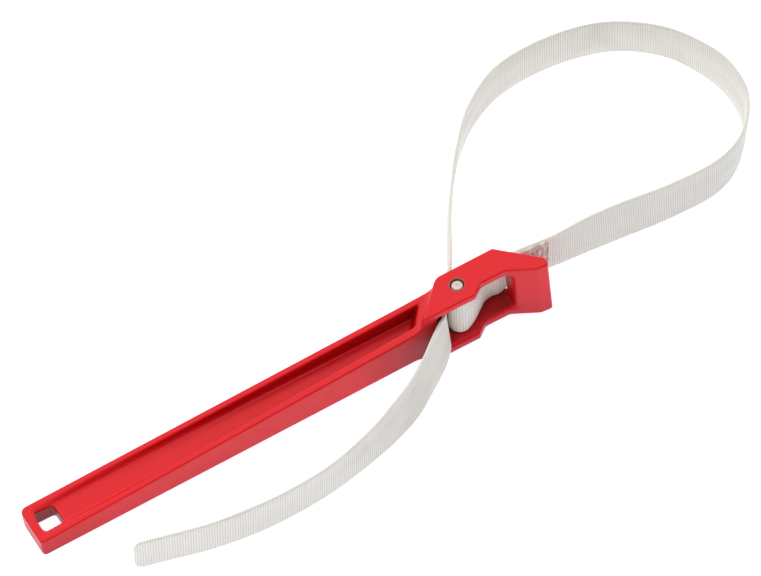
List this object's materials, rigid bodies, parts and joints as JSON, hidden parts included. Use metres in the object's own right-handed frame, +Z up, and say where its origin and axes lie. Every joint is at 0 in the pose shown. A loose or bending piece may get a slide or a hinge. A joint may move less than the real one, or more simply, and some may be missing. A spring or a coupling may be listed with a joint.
{
  "type": "strap filter wrench",
  "caption": "Strap wrench for oil filters: cast channel handle with a forked head, cross pin, and a woven strap that makes one loop and ends in a free tail.",
  "frame": {"origin": "on the surface the wrench lies on, below the middle of the box round the casting and its pin", "axes": "+X along the handle from its plain end to the nose, +Y to the side of the head where the strap's loop lies, +Z up; the casting lies tipped 3.5 degrees about Y, on its handle's end and on the lower edge of its head"},
  "size_m": [0.4585, 0.1886, 0.0446],
  "materials": {
    "red_paint": "glossy red stove paint on an aluminium casting",
    "pin_steel": "bare turned steel, slightly yellowed",
    "nylon_webbing": "off-white ribbed woven nylon",
    "sewing_thread": "matt reddish-brown bonded thread"
  },
  "bodies": {
    "handle": {"handle_casting": "red_paint", "pivot_pin": "pin_steel"},
    "strap": {"strap_loop": "nylon_webbing", "eye_stitching": "sewing_thread"},
    "strap_tail": {"strap_tail": "nylon_webbing"}
  },
  "joints": [
    {"name": "eye_swivel", "type": "hinge", "parent": "handle", "child": "strap", "pos_m": [0.1032, 0.00095, 0.02175], "axis": [-0.0618, 0, 0.9981], "range_deg": [-1.2, 6]},
    {"name": "tail_pull", "type": "slide", "parent": "strap", "child": "strap_tail", "axis": [-0.7524, -0.6587, 0], "range_m": [0, 0.025]}
  ]
}
